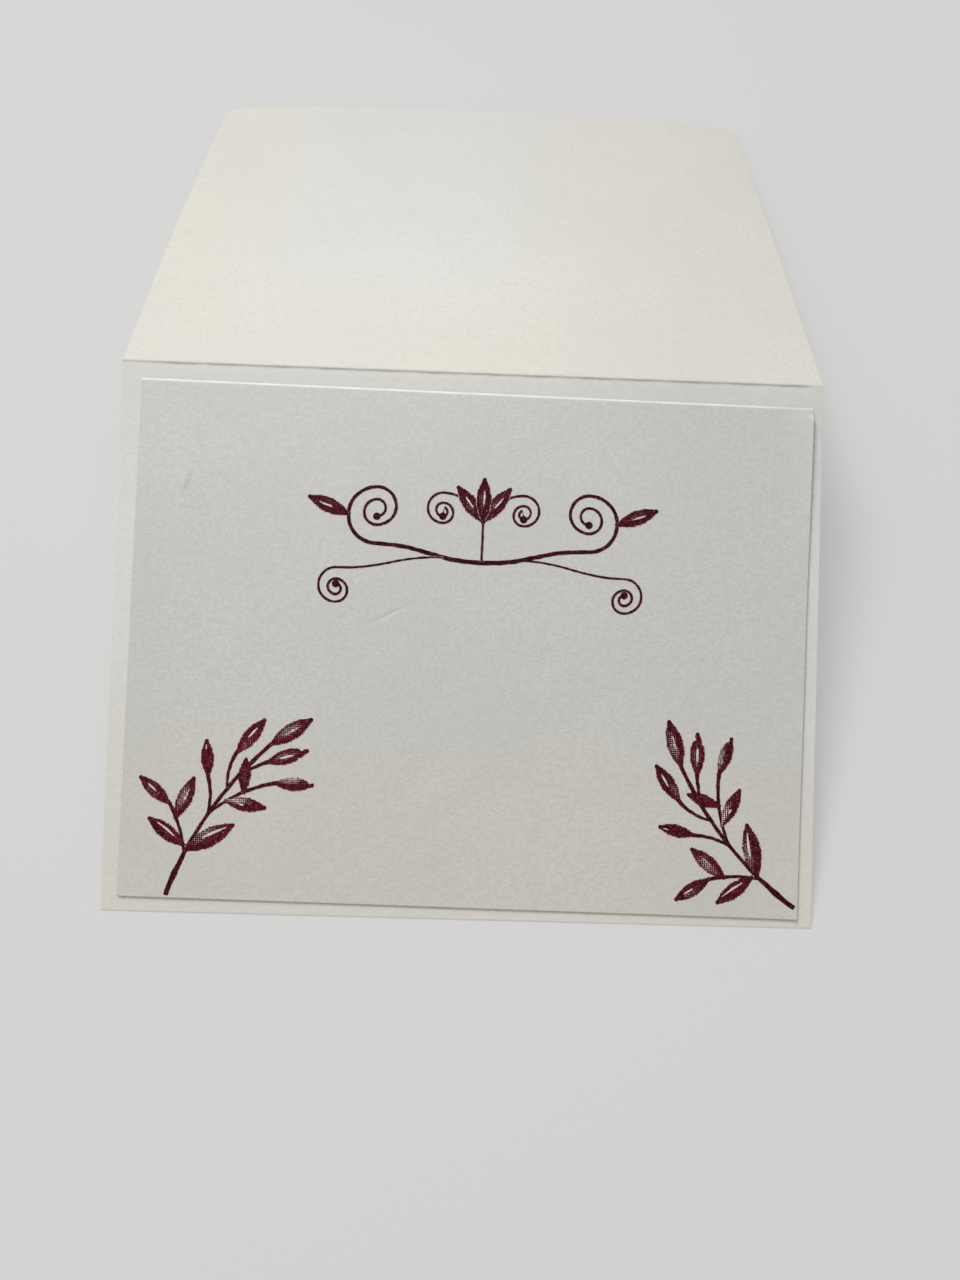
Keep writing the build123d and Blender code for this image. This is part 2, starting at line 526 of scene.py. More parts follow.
def finish_piece(bm, name, place, material, node):
    """Put a mesh in its place in metres and make it the piece that stands for a CAD node."""
    bmesh.ops.transform(bm, matrix=to_metres @ place, verts=bm.verts)
    mesh = bpy.data.meshes.new(name)
    bm.to_mesh(mesh)
    bm.free()
    mesh.shade_smooth()
    mesh.set_sharp_from_angle(angle=radians(crisp_angle))
    mesh.materials.append(material)
    piece = add_object(name, mesh)
    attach(piece, "root")
    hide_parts(node)


# Node helpers
def add_node(tree, kind, **settings):
    """New node with its settings."""
    node = tree.nodes.new(kind)
    for name, value in settings.items():
        setattr(node, name, value)
    return node


def feed(tree, socket, source):
    """Link a socket to another one, or set it to a plain number or colour."""
    if isinstance(source, bpy.types.NodeSocket):
        tree.links.new(source, socket)
    else:
        socket.default_value = source


def maths(tree, operation, first, second=0.0, clamp=False):
    """Output of one maths node."""
    node = add_node(tree, "ShaderNodeMath", operation=operation, use_clamp=clamp)
    feed(tree, node.inputs[0], first)
    feed(tree, node.inputs[1], second)
    return node.outputs[0]


def plus(tree, first, second):
    """Sum of two values."""
    return maths(tree, "ADD", first, second)


def minus(tree, first, second):
    """First value less the second."""
    return maths(tree, "SUBTRACT", first, second)


def times(tree, first, second):
    """Product of two values."""
    return maths(tree, "MULTIPLY", first, second)


def largest(tree, value, *others):
    """Largest of a few values."""
    for other in others:
        value = maths(tree, "MAXIMUM", value, other)
    return value


def ramp(tree, value, span):
    """A value eased from 0 to 1 over a span."""
    node = add_node(tree, "ShaderNodeMapRange", interpolation_type="SMOOTHSTEP")
    feed(tree, node.inputs["Value"], value)
    node.inputs["From Min"].default_value, node.inputs["From Max"].default_value = span
    return node.outputs["Result"]


def noise(tree, vector, look):
    """Output of one noise texture."""
    node = add_node(tree, "ShaderNodeTexNoise")
    tree.links.new(vector, node.inputs["Vector"])
    for label, value in zip(("Scale", "Detail", "Roughness"), look):
        node.inputs[label].default_value = value
    return node.outputs["Fac"]


def mark(tree, name):
    """Value of one of the marks that a mesh carries."""
    return add_node(tree, "ShaderNodeAttribute", attribute_name=name).outputs["Fac"]


def blend_colour(tree, share, first, second, kind="MIX"):
    """Colour between two colours, or the first one tinted by the second."""
    node = add_node(tree, "ShaderNodeMix", data_type="RGBA", blend_type=kind)
    feed(tree, node.inputs[0], share)
    feed(tree, node.inputs[6], first)
    feed(tree, node.inputs[7], second)
    return node.outputs[2]


def blend_value(tree, share, ends):
    """Number between two numbers."""
    node = add_node(tree, "ShaderNodeMix", data_type="FLOAT")
    feed(tree, node.inputs[0], share)
    node.inputs[2].default_value, node.inputs[3].default_value = ends
    return node.outputs[0]


def scaled(colour, ratio):
    """A colour made darker or lighter."""
    return tuple(min(part * ratio, 1) for part in colour[:3]) + (1,)


def new_group(name, inputs, outputs):
    """Node group from a vector and named values to named values, with the sockets of its two ends."""
    group = bpy.data.node_groups.new(name, "ShaderNodeTree")
    group.interface.new_socket("Vector", in_out="INPUT", socket_type="NodeSocketVector")
    for label in inputs:
        group.interface.new_socket(label, in_out="INPUT", socket_type="NodeSocketFloat")
    for label in outputs:
        group.interface.new_socket(label, in_out="OUTPUT", socket_type="NodeSocketFloat")
    start = group.nodes.new("NodeGroupInput")
    end = group.nodes.new("NodeGroupOutput")
    return group, start.outputs, end.inputs


def add_group(tree, group, vector):
    """Use of a node group in a material."""
    node = add_node(tree, "ShaderNodeGroup", node_tree=group)
    tree.links.new(vector, node.inputs["Vector"])
    return node


def new_material(name):
    """Material with its node tree, its shader and the coordinates in the panel's plane, in millimetres."""
    material = bpy.data.materials.new(name)
    material.use_nodes = True
    tree = material.node_tree
    shader = tree.nodes["Principled BSDF"]
    place = add_node(tree, "ShaderNodeTexCoord")
    turn = add_node(tree, "ShaderNodeMapping")
    turn.inputs["Rotation"].default_value = (-slope, 0, 0)
    turn.inputs["Scale"].default_value = (mm_per_metre, mm_per_metre, mm_per_metre)
    tree.links.new(place.outputs["Object"], turn.inputs["Vector"])
    return material, tree, shader, turn.outputs["Vector"]


def finish_shader(tree, shader, colour, roughness, height, depth, strength):
    """Feed a shader its colour, its roughness and a bump, whose depth is in millimetres."""
    tree.links.new(colour, shader.inputs["Base Color"])
    tree.links.new(roughness, shader.inputs["Roughness"])
    bump = add_node(tree, "ShaderNodeBump")
    bump.inputs["Distance"].default_value = depth / mm_per_metre
    bump.inputs["Strength"].default_value = strength
    tree.links.new(height, bump.inputs["Height"])
    tree.links.new(bump.outputs["Normal"], shader.inputs["Normal"])


# Node groups and materials
def paper_tooth_group():
    """Fine tooth of uncoated card stock: a height for the bump, a cloudy tone and rare specks."""
    group, given, result = new_group("paper_tooth", [], ["Height", "Cloud", "Speck"])
    vector = given["Vector"]
    felt = times(group, noise(group, vector, felt_noise), felt_share)
    grain = times(group, noise(group, vector, grain_noise), grain_share)
    feed(group, result["Height"], plus(group, felt, grain))
    feed(group, result["Cloud"], ramp(group, noise(group, vector, cloud_noise), cloud_span))
    cells = add_node(group, "ShaderNodeTexVoronoi")
    cells.inputs["Scale"].default_value = speck_scale
    group.links.new(vector, cells.inputs["Vector"])
    feed(group, result["Speck"], ramp(group, cells.outputs["Distance"], speck_span))
    return group


def stamp_group():
    """How stamped ink covers: where it left the paper bare, how deep its colour is and where it is thin."""
    labels = [label.capitalize() for label in print_marks]
    group, given, result = new_group("stamp_cover", labels, ["Bare", "Depth", "Thin"])
    vector = given["Vector"]
    axes = add_node(group, "ShaderNodeSeparateXYZ")
    group.links.new(vector, axes.inputs[0])
    falling = plus(group, axes.outputs["X"], axes.outputs["Y"])
    rising = minus(group, axes.outputs["X"], axes.outputs["Y"])
    first_lines = maths(group, "SINE", times(group, falling, 2 * pi / dot_pitch))
    second_lines = maths(group, "SINE", times(group, rising, 2 * pi / dot_pitch))
    dots = times(group, first_lines, second_lines)
    fleck = noise(group, vector, fleck_noise)
    uneven = minus(group, fleck, mid_noise)

    # The hatched patch opens dot by dot as its strength grows, unevenly
    patch = plus(group, given["Hatch"], times(group, uneven, patch_fleck))
    opened = minus(group, patch, plus(group, times(group, dots, patch_dots), patch_level))
    patch_bare = ramp(group, opened, patch_span)
    patch_bare = times(group, patch_bare, ramp(group, given["Hatch"], patch_least_span))

    # The outline is ragged, in step with the dots and the flecks
    bite = plus(group, times(group, dots, rim_dots), times(group, fleck, rim_fleck))
    rim_bare = ramp(group, minus(group, given["Rim"], bite), rim_span)

    # Slivers have frayed ends, and tiny pinholes are left over the whole print
    frayed = plus(group, given["Sliver"], times(group, uneven, sliver_fleck))
    sliver_bare = ramp(group, frayed, sliver_span)
    pinhole = ramp(group, noise(group, vector, pinhole_noise), pinhole_span)
    pinhole = times(group, pinhole, pinhole_strength)
    feed(group, result["Bare"], largest(group, patch_bare, sliver_bare, pinhole, rim_bare))

    # Colour is deep along the outline, in the strokes and where the ink pooled, and lighter elsewhere
    inner = ramp(group, plus(group, given["Rim"], times(group, fleck, outline_fleck)), outline_span)
    outline = times(group, minus(group, 1.0, inner), outline_depth)
    stroke = times(group, given["Stroke"], ramp(group, fleck, stroke_span))
    pool = times(group, ramp(group, noise(group, vector, pool_noise), pool_span), pool_depth)
    mottle = noise(group, vector, mottle_noise)
    blotch = times(group, ramp(group, mottle, mottle_span), mottle_depth)
    feed(group, result["Depth"], largest(group, outline, stroke, pool, blotch))
    feed(group, result["Thin"], ramp(group, mottle, thin_span))
    return group


paper_tooth = paper_tooth_group()
stamp_cover = stamp_group()


def paper_material(name, white, cream, tooth_depth, pit_shade_strength):
    """Uncoated white card stock: cloudy, creamier with painted warm light, with a fine tooth and specks."""
    material, tree, shader, vector = new_material(name)
    tooth = add_group(tree, paper_tooth, vector).outputs
    colour = blend_colour(tree, tooth["Cloud"], scaled(white, shade_ratio), scaled(white, light_ratio))
    # Painted shade in the pits of the tooth
    pit_shade = times(tree, ramp(tree, tooth["Height"], pit_span), pit_shade_strength)
    colour = blend_colour(tree, pit_shade, colour, scaled(white, pit_shade_ratio))

    # Painted warm light and panel light, painted shade on the score line, painted edge highlight, then
    # specks
    cream_tint = tuple(creamy / plain for creamy, plain in zip(cream, white))
    patchy = blend_value(tree, tooth["Cloud"], cream_patch_range)
    painted_warm_light = maths(tree, "MULTIPLY", mark(tree, "painted_warm_light"), patchy, True)
    colour = blend_colour(tree, painted_warm_light, colour, cream_tint, "MULTIPLY")
    colour = blend_colour(tree, mark(tree, "panel_painted_light"), colour, panel_light_tint, "MULTIPLY")
    colour = blend_colour(tree, times(tree, mark(tree, "score_painted_shade"), score_painted_shade_strength), colour, score_painted_shade_grey)
    colour = blend_colour(tree, mark(tree, "edge_highlight"), colour, top_edge_painted_highlight)
    colour = blend_colour(tree, times(tree, tooth["Speck"], speck_strength), colour, speck_brown)
    roughness = blend_value(tree, tooth["Height"], paper_roughness)
    shader.inputs["Specular IOR Level"].default_value = paper_specular
    finish_shader(tree, shader, colour, roughness, tooth["Height"], tooth_depth, tooth_strength)
    return material


def ink_material(name, deep, bright):
    """Stamped burgundy ink: deeper along its outline, broken where the stamp left the paper bare."""
    material, tree, shader, vector = new_material(name)
    tooth = add_group(tree, paper_tooth, vector).outputs
    stamp = add_group(tree, stamp_cover, vector)
    for label in print_marks:
        tree.links.new(mark(tree, label), stamp.inputs[label.capitalize()])
    bare = stamp.outputs["Bare"]
    ink = blend_colour(tree, stamp.outputs["Depth"], bright, deep)
    ink = blend_colour(tree, times(tree, stamp.outputs["Thin"], thin_bleed), ink, ink_bleed)
    colour = blend_colour(tree, bare, ink, bare_white)
    half_bare = times(tree, bare, minus(tree, 1.0, bare))
    colour = blend_colour(tree, times(tree, half_bare, fringe_bleed), colour, ink_bleed)
    roughness = blend_value(tree, bare, ink_roughness)
    shader.inputs["Specular IOR Level"].default_value = ink_specular
    finish_shader(tree, shader, colour, roughness, tooth["Height"], ink_tooth_depth, tooth_strength)
    return material


card_paper = paper_material("card_paper", card_white, card_cream, card_tooth_depth, card_pit_shade)
liner_paper = paper_material("liner_paper", liner_white, liner_cream, liner_tooth_depth, liner_pit_shade)
sprig_ink = ink_material("sprig_ink", sprig_ink_deep, sprig_ink_bright)
right_ink = ink_material("right_ink", right_ink_deep, right_ink_bright)
flourish_ink = ink_material("flourish_ink", flourish_ink_deep, flourish_ink_bright)


# Folded sheet
def panel_warm_light(station):
    """How much painted warm light the lined panel gets, at a distance from the fold."""
    return smooth_step(station, *panel_cream_span)


def cover_warm_light(x, station):
    """How much painted warm light the cover gets: near the fold and at its two sides."""
    left = smooth_step(-x, *cover_left_cream_span)
    right = smooth_step(x, *cover_right_cream_span)
    fold = 1 - smooth_step(station, *cover_fold_cream_span)
    return 1 - (1 - left) * (1 - right) * (1 - fold)


def arch(across, crown, shoulder):
    """Height of an arch between the two side edges, through its crown and its shoulders a quarter in."""
    square = (16 * (shoulder - crown) + crown) / 3
    return crown + square * across**2 - (crown + square) * across**4


def cover_relief(across, station):
    """How far the curled cover stands off a flat one, at a distance from the fold."""
    if station <= seam_length:
        return 0
    share = (station - seam_length) / (panel_length - seam_length)
    middle = (panel_length / 2 - seam_length) / (panel_length - seam_length)
    half_way = left_bow * (1 - across) / 2 + arch(across, middle_crown, middle_crown)
    free_edge = arch(across, edge_crown, edge_shoulder)
    bulge = half_way * share * (1 - share) / (middle * (1 - middle))
    lift = free_edge * share * (share - middle) / (1 - middle)
    calm = smooth_step(share, 0, cover_calm_share) * (1 - smooth_step(share, 1 - cover_calm_share, 1))
    return bulge + lift + ripple(across, share, cover_waves) * calm


def score_mark(flat):
    """How hard the wandering score line was pressed at a point of the flat sheet, less near its ends."""
    past_left = smooth_step(flat.x, -card_width / 2, -card_width / 2 + score_left_inset)
    fade = 1 - score_right_loss * near_right(flat.x, card_width / 2, score_right_insets)
    fade = fade * (score_left_share + (1 - score_left_share) * past_left)
    pressed = score_press + sway(flat.x, score_press_waves)
    aside = flat.y + score_offset - sway(flat.x, score_wander_waves)
    return pressed * fade * hump(aside, score_half_width)


def folded(flat):
    """Where a point of the flat sheet goes when the sheet is folded: y is 0 at the fold, z 0 underneath."""
    across = flat.x / (card_width / 2)
    groove = score_depth * score_mark(flat) * flat.z / sheet_thickness
    height = visible_radius + flat.z - sheet_thickness - groove
    if abs(flat.y) <= half_arc:
        angle = flat.y / visible_radius
        place = crease_centre + Vector((0, sin(angle), cos(angle))) * height
    elif flat.y > 0:
        station = flat.y - half_arc
        height += cover_relief(across, station + crease_tangent)
        place = crease_centre + Vector((0, rise, run)) * height + Vector((0, run, -rise)) * station
    else:
        station = -flat.y - half_arc
        place = crease_centre + Vector((0, -rise, run)) * height + Vector((0, -run, -rise)) * station
    nick = nick_depth * hump(flat.y - nick_station, nick_half_length)
    nick = nick * near_right(flat.x, card_width / 2, nick_insets)
    return Vector((flat.x - nick, place.y, place.z))


fold_rows = [0] + both_sides(0, fold_steps)
nick_rows = around(nick_station, nick_half_length / 2, nick_steps)
end_rows = both_sides(half_sheet, end_insets)
card_columns = stations(card_width / 2, card_column_count, both_sides(card_width / 2, side_insets))
card_rows = stations(half_sheet, card_row_count, fold_rows + nick_rows + end_rows)
sheet = thick_sheet(card_columns, card_rows, sheet_thickness, cut_edge_radius)
# Mask of painted shade along the score line
score_painted_shade = sheet.verts.layers.float.new("score_painted_shade")
# Mask of painted warm light
painted_warm_light = sheet.verts.layers.float.new("painted_warm_light")
# Mask of painted light that makes the lined panel paler away from the fold
panel_painted_light = sheet.verts.layers.float.new("panel_painted_light")
for vert in sheet.verts:
    if vert.co.y > 0:
        vert[painted_warm_light] = cover_warm_light(vert.co.x, vert.co.y)
    else:
        vert[painted_warm_light] = panel_warm_light(-vert.co.y)
        vert[panel_painted_light] = smooth_step(-vert.co.y, *panel_painted_light_span)
    vert[score_painted_shade] = score_mark(vert.co) * (vert.co.z > sheet_thickness * score_shade_upper_share)
    vert.co = folded(vert.co)
finish_piece(sheet, "card_sheet", Matrix.Identity(4), card_paper, "card_base")


# Liner sheet
def liner_lift(x, y):
    """How far the liner stands off its tape: shallow waves, small dents and two lifted edges."""
    dents = 0
    for mark_x, mark_y, turn, height, half_length, half_width in liner_marks:
        along = (x - mark_x) * sin(radians(turn)) + (y - mark_y) * cos(radians(turn))
        aside = (x - mark_x) * cos(radians(turn)) - (y - mark_y) * sin(radians(turn))
        dents += height * hump(along, half_length) * hump(aside, half_width)
    top_inset = liner_height / 2 - y
    below_corner = smooth_step(top_inset, *corner_hold_span)
    near_top = 1 - right_fade * smooth_step(top_inset, *right_fade_span)
    near_side = max(0, 1 - (liner_width / 2 - x) / right_lift_width)
    right = right_lift * near_top * below_corner * near_side**2
    near_bottom = max(0, (-y - bottom_lift_start) / (liner_height / 2 - bottom_lift_start))
    bottom = bottom_lift * near_bottom**2
    return liner_rest_lift + ripple(x, y, liner_waves) + dents + right + bottom


def liner_roll(x, y):
    """How far the upper face is rolled down beside a cut edge, the most along the top."""
    side_inset = max(min(liner_width / 2 - abs(x), liner_height / 2 + y), 0)
    side = side_roll_depth * max(0, 1 - side_inset / side_roll_width) ** 2
    top_inset = max(liner_height / 2 - y, 0)
    top = top_roll_depth * max(0, 1 - top_inset / top_roll_width) ** top_roll_power
    return max(side, top)


def liner_edge_highlight(x, y):
    """How strong the painted highlight along the top cut edge is at a point of the upper face."""
    shown = highlight_share + sway(x, highlight_waves)
    shown -= highlight_right_loss * near_right(x, liner_width / 2, highlight_right_insets)
    return shown * (1 - smooth_step(liner_height / 2 - y, highlight_roll_share * top_roll_width, top_roll_width))


corner_rows = [liner_height / 2 - drop for drop in corner_drops]
mark_columns = []
mark_rows = []
for mark_x, mark_y, turn, height, half_length, half_width in liner_marks:
    if half_width < fine_mark_width:
        pitch = half_width / 2
        steps = int(fine_mark_reach * half_length / pitch)
        mark_columns += around(mark_x, pitch, steps)
        mark_rows += around(mark_y, pitch, steps)
rim_columns = both_sides(liner_width / 2, rim_insets)
rim_rows = both_sides(liner_height / 2, rim_insets)
liner_columns = stations(liner_width / 2, liner_column_count, rim_columns + mark_columns)
liner_rows = stations(liner_height / 2, liner_row_count, rim_rows + corner_rows + mark_rows)
liner_sheet = thick_sheet(liner_columns, liner_rows, liner_thickness, liner_edge_radius)
# Mask of the painted highlight along the liner's top cut edge
edge_highlight = liner_sheet.verts.layers.float.new("edge_highlight")
# Mask of painted warm light on the liner
painted_warm_light = liner_sheet.verts.layers.float.new("painted_warm_light")
for vert in liner_sheet.verts:
    vert[painted_warm_light] = panel_warm_light(panel_length / 2 + liner_drop - vert.co.y)
    upper_share = vert.co.z / liner_thickness
    vert[edge_highlight] = liner_edge_highlight(vert.co.x, vert.co.y) * (upper_share > highlight_upper_share)
    vert.co.z += liner_lift(vert.co.x, vert.co.y) - liner_roll(vert.co.x, vert.co.y) * upper_share
finish_piece(liner_sheet, "liner_sheet", liner_frame, liner_paper, "liner")


# Stamped print
def arc_path(start, end, bow):
    """Path along an arc that bows to the left of its travel, or to the right if its bow is negative."""
    chord = end - start
    forward = chord.normalized()
    left = Vector((-forward.y, forward.x, 0))
    half_angle = 2 * atan(2 * bow / chord.length)
    radius = chord.length / 2 / sin(half_angle)
    middle = (start + end) / 2

    def point_at(share):
        angle = half_angle * (2 * share - 1)
        return middle + forward * radius * sin(angle) + left * radius * (cos(angle) - cos(half_angle))

    return point_at


def cubic(start, first_pull, second_pull, end, share):
    """Place at a share of a cubic through its two ends and towards its two pulls."""
    rest = 1 - share
    early = start * rest**3 + first_pull * (3 * rest**2 * share)
    return early + second_pull * (3 * rest * share**2) + end * share**3


def new_print():
    """Empty mesh with the marks that the ink reads."""
    bm = bmesh.new()
    for label in print_marks:
        bm.verts.layers.float.new(label)
    return bm


def leaf_half_width(across, share, turn, size, bites, tip_half_width):
    """Half width of a leaf on one of its sides, at a share of its length."""
    waver = 1
    for height, along_rate, turn_rate, across_rate in leaf_wavers:
        waver += height * sin(share * along_rate + turn * turn_rate + across * across_rate)
    fullness = 2 * leaf_width * size * share * (1 - share)
    least = tip_half_width if share > 0.5 else leaf_end_half_width
    past_end = min(max(0, (share - leaf_end_share) / (1 - leaf_end_share)), 1)
    half = max(fullness * waver + leaf_spread, least) * sqrt(leaf_end_fullness - past_end**2)
    for bite_share, side, depth in bites:
        if side * across > 0:
            opened = smooth_step(share - bite_share, *bite_open_span)
            closed = smooth_step(share - bite_share, *bite_close_span)
            half *= 1 - depth * opened * (1 - closed)
    return half


def lay_leaf(bm, base, turn, size, traits, bites=(), tip_half_width=leaf_end_half_width):
    """One leaf of ink, pointing along a heading, with a wavering outline, blunt ends and a bitten edge."""
    hatch = bm.verts.layers.float["hatch"]
    sliver = bm.verts.layers.float["sliver"]
    rim = bm.verts.layers.float["rim"]
    patch_share, patch_across, patch_strength = traits[:3]
    sliver_share, sliver_across, sliver_half_length, sliver_strength = traits[3:]
    grid = bmesh.ops.create_grid(bm, x_segments=leaf_columns, y_segments=leaf_rows, size=1)
    for vert in grid["verts"]:
        across = vert.co.x
        share = (vert.co.y + 1) / 2
        half = leaf_half_width(across, share, turn, size, bites, tip_half_width)
        along = cubic(0, leaf_base_pull, leaf_length - leaf_tip_pull, leaf_length, share)
        near_ends = smooth_step(share, *leaf_tip_span) + 1 - smooth_step(share, *leaf_base_span)
        vert[rim] = half * (1 - abs(across)) + leaf_end_guard * near_ends
        patch = patch_gain * patch_strength * hump(share - patch_share, patch_reach_along)
        vert[hatch] = patch * hump(across - patch_across, patch_reach_across)
        past_sliver = share - sliver_share
        aside = across - sliver_across - sliver_slant * past_sliver
        reach = (past_sliver / sliver_half_length) ** 2 + (aside / sliver_half_width) ** 2
        vert[sliver] = sliver_strength * max(0, sliver_gain - reach)
        vert.co = (across * half, along * size - leaf_sink, 0)
    bmesh.ops.transform(bm, matrix=turned(base, turn), verts=grid["verts"])
    return grid["verts"]


def width_at(widths, share):
    """Width of a stroke at a share of its path, which passes evenly through a few widths."""
    place = share * (len(widths) - 1)
    index = min(int(place), len(widths) - 2)
    return widths[index] + (widths[index + 1] - widths[index]) * (place - index)


def lay_stroke(bm, point_at, widths, rows, unevenness):
    """One inked stroke along a path, as wide as its widths say."""
    rim = bm.verts.layers.float["rim"]
    stroke = bm.verts.layers.float["stroke"]
    grid = bmesh.ops.create_grid(bm, x_segments=stroke_columns, y_segments=rows, size=1)
    for vert in grid["verts"]:
        across = vert.co.x
        share = (vert.co.y + 1) / 2
        before = point_at(max(share - tangent_share, 0))
        after = point_at(min(share + tangent_share, 1))
        forward = (after - before).normalized()
        right = Vector((forward.y, -forward.x, 0))
        waver = 0
        for rate, slant, start in stroke_wavers:
            waver += sin(share * rows * rate + across * slant + start)
        half = width_at(widths, share) / 2 * (1 + unevenness * waver)
        vert[rim] = half * (1 - abs(across)) + stroke_guard
        vert[stroke] = 1 - stroke_fade * share
        vert.co = point_at(share) + right * across * half
    return grid["verts"]


def lay_bead(bm, middle):
    """Round blot at the end of a curl."""
    rim = bm.verts.layers.float["rim"]
    stroke = bm.verts.layers.float["stroke"]
    size = {"segments": bead_segments, "radius": bead_radius}
    disc = bmesh.ops.create_circle(bm, cap_ends=True, cap_tris=True, **size)
    for vert in disc["verts"]:
        vert[rim] = bead_radius - vert.co.length + bead_guard
        vert[stroke] = 1
        vert.co = vert.co + middle
    return disc["verts"]


def stack_films(layers, first_order=0):
    """Lift each laid shape a hair above the last, so that crossing strokes don't share a face."""
    for order, verts in enumerate(layers, first_order):
        for vert in verts:
            vert.co.z = order * film_step


def guard_joins(bm, layers, paths):
    """Keep the ragged outline off a shape where it meets another's path. The first layers have paths."""
    rim = bm.verts.layers.float["rim"]
    samples = []
    for owner, path in enumerate(paths):
        samples += [(path(step / join_samples), owner) for step in range(join_samples + 1)]
    tree = KDTree(len(samples))
    for index, (point, owner) in enumerate(samples):
        tree.insert(point, index)
    tree.balance()
    for order, verts in enumerate(layers):
        for vert in verts:
            owners = {samples[index][1] for point, index, distance in tree.find_range(vert.co, join_reach)}
            if owners - {order}:
                vert[rim] += join_guard


def lay_sprig():
    """The sprig, with its root at the origin and its stem's chord along +Y, its leaves over its strokes."""
    bm = new_print()
    stem = arc_path(Vector((0, 0, 0)), Vector((0, stem_length, 0)), stem_bow)
    paths = [stem]
    layers = [lay_stroke(bm, stem, stem_widths, stem_rows, stem_unevenness)]
    leaves = [(stem(share), turn, size) for share, turn, size in stem_leaves]
    for index, (share, turn, length, bow_ratio, end_turn, end_size) in enumerate(twigs):
        foot = stem(share)
        end = foot + heading(turn) * length * leaf_length
        twig = arc_path(foot, end, length * leaf_length * bow_ratio)
        rows = int(twig_rows_per_leaf * length) + twig_least_rows
        paths.append(twig)
        layers.append(lay_stroke(bm, twig, twig_widths, rows, twig_unevenness))
        leaves.append((end, end_turn, end_size))
        for twig_share, leaf_turn, size in twig_leaves.get(index, []):
            leaves.append((twig(twig_share), leaf_turn, size))
    for order, (base, turn, size) in enumerate(leaves):
        bites = leaf_bites.get(order, [])
        tip_half_width = slim_tips.get(order, leaf_end_half_width)
        layers.append(lay_leaf(bm, base, turn, size, leaf_prints[order], bites, tip_half_width))
    guard_joins(bm, layers, paths)
    stack_films(layers)
    return bm


def scroll(start, start_turn, curl_start, curl_radius, side):
    """Path of a pen line that runs out level to a curl of shrinking half turns, up or down by its side."""
    pull = (curl_start.x - start.x) * lead_pull_ratio
    lead = (start, start + heading(start_turn) * pull, curl_start - Vector((pull, 0, 0)), curl_start)
    lead_points = [cubic(*lead, step / lead_samples) for step in range(lead_samples + 1)]
    lead_length = sum((after - before).length for before, after in zip(lead_points, lead_points[1:]))
    turns = []
    point = curl_start
    radius = curl_radius
    for half_turn in range(curl_half_turns):
        outward = 1 - 2 * (half_turn % 2)
        turns.append((point + Vector((0, side * radius * outward, 0)), radius, outward))
        point = point + Vector((0, 2 * side * radius * outward, 0))
        radius = radius * curl_shrink_ratio
    whole = lead_length + sum(pi * turn[1] for turn in turns)

    def point_at(share):
        travel = share * whole
        if travel <= lead_length:
            return cubic(*lead, travel / lead_length)
        travel -= lead_length
        for middle, radius, outward in turns:
            if travel <= pi * radius:
                break
            travel -= pi * radius
        angle = min(travel / radius, pi)
        return middle + Vector((sin(angle), -side * cos(angle), 0)) * radius * outward

    return point_at


def lay_flourish():
    """The flourish, with the lowest point of its swash at the origin."""
    bm = new_print()
    swash_end = Vector((swash_reach, swash_sag, 0))
    swash = scroll(Vector((0, 0, 0)), level_turn, swash_end, swash_curl, 1)
    tail_start = swash(tail_fork_ratio)
    tail_end = Vector((tail_reach, tail_start.y - tail_drop, 0))
    tail = scroll(tail_start, level_turn, tail_end, tail_curl, -1)
    bud = Vector((0, bud_rise, 0))
    inner = scroll(bud, scroll_start_angle, Vector((scroll_reach, scroll_rise, 0)), scroll_curl, -1)
    leaf_base = swash_end + Vector((swash_curl, swash_curl, 0))
    layers = [
        lay_stroke(bm, swash, swash_widths, swash_rows, pen_unevenness),
        lay_stroke(bm, tail, tail_widths, tail_rows, pen_unevenness),
        lay_stroke(bm, inner, hairline_widths, scroll_rows, pen_unevenness),
        lay_bead(bm, swash(1)),
        lay_bead(bm, tail(1)),
        lay_bead(bm, inner(1)),
        lay_leaf(bm, leaf_base, swash_leaf_angle, 1, plain_print),
    ]
    stack_films(layers)
    bmesh.ops.mirror(bm, geom=bm.verts[:] + bm.edges[:] + bm.faces[:], merge_dist=0, axis="X")

    def stalk(share):
        return bud * share

    middle_layers = [lay_stroke(bm, stalk, hairline_widths, stalk_rows, pen_unevenness)]
    for turn in (-bud_spread_angle, bud_spread_angle, 0):
        middle_layers.append(lay_leaf(bm, bud, turn, 1, plain_print))
    stack_films(middle_layers, len(layers))
    return bm


def stamp_on_liner(bm, name, place, material, node):
    """Turn a drawn print in to thin ink films, trimmed by the liner's edges and lying on its surface."""
    bmesh.ops.transform(bm, matrix=place, verts=bm.verts)
    for axis, half in ((Vector((1, 0, 0)), liner_width / 2), (Vector((0, 1, 0)), liner_height / 2)):
        for outward in (-axis, axis):
            parts = bm.verts[:] + bm.edges[:] + bm.faces[:]
            plane = {"plane_co": outward * half, "plane_no": outward}
            bmesh.ops.bisect_plane(bm, geom=parts, dist=trim_tolerance, clear_outer=True, **plane)
    bm.normal_update()
    bmesh.ops.reverse_faces(bm, faces=[face for face in bm.faces if face.normal.z < 0])
    top_level = max(vert.co.z for vert in bm.verts)
    bmesh.ops.solidify(bm, geom=bm.faces[:], thickness=film_thickness)
    for vert in bm.verts:
        vert.co.z = liner_thickness + vert.co.z + film_thickness - top_level
        vert.co.z += liner_lift(vert.co.x, vert.co.y) - liner_roll(vert.co.x, vert.co.y)
    bmesh.ops.recalc_face_normals(bm, faces=bm.faces[:])
    finish_piece(bm, name, liner_frame, material, node)


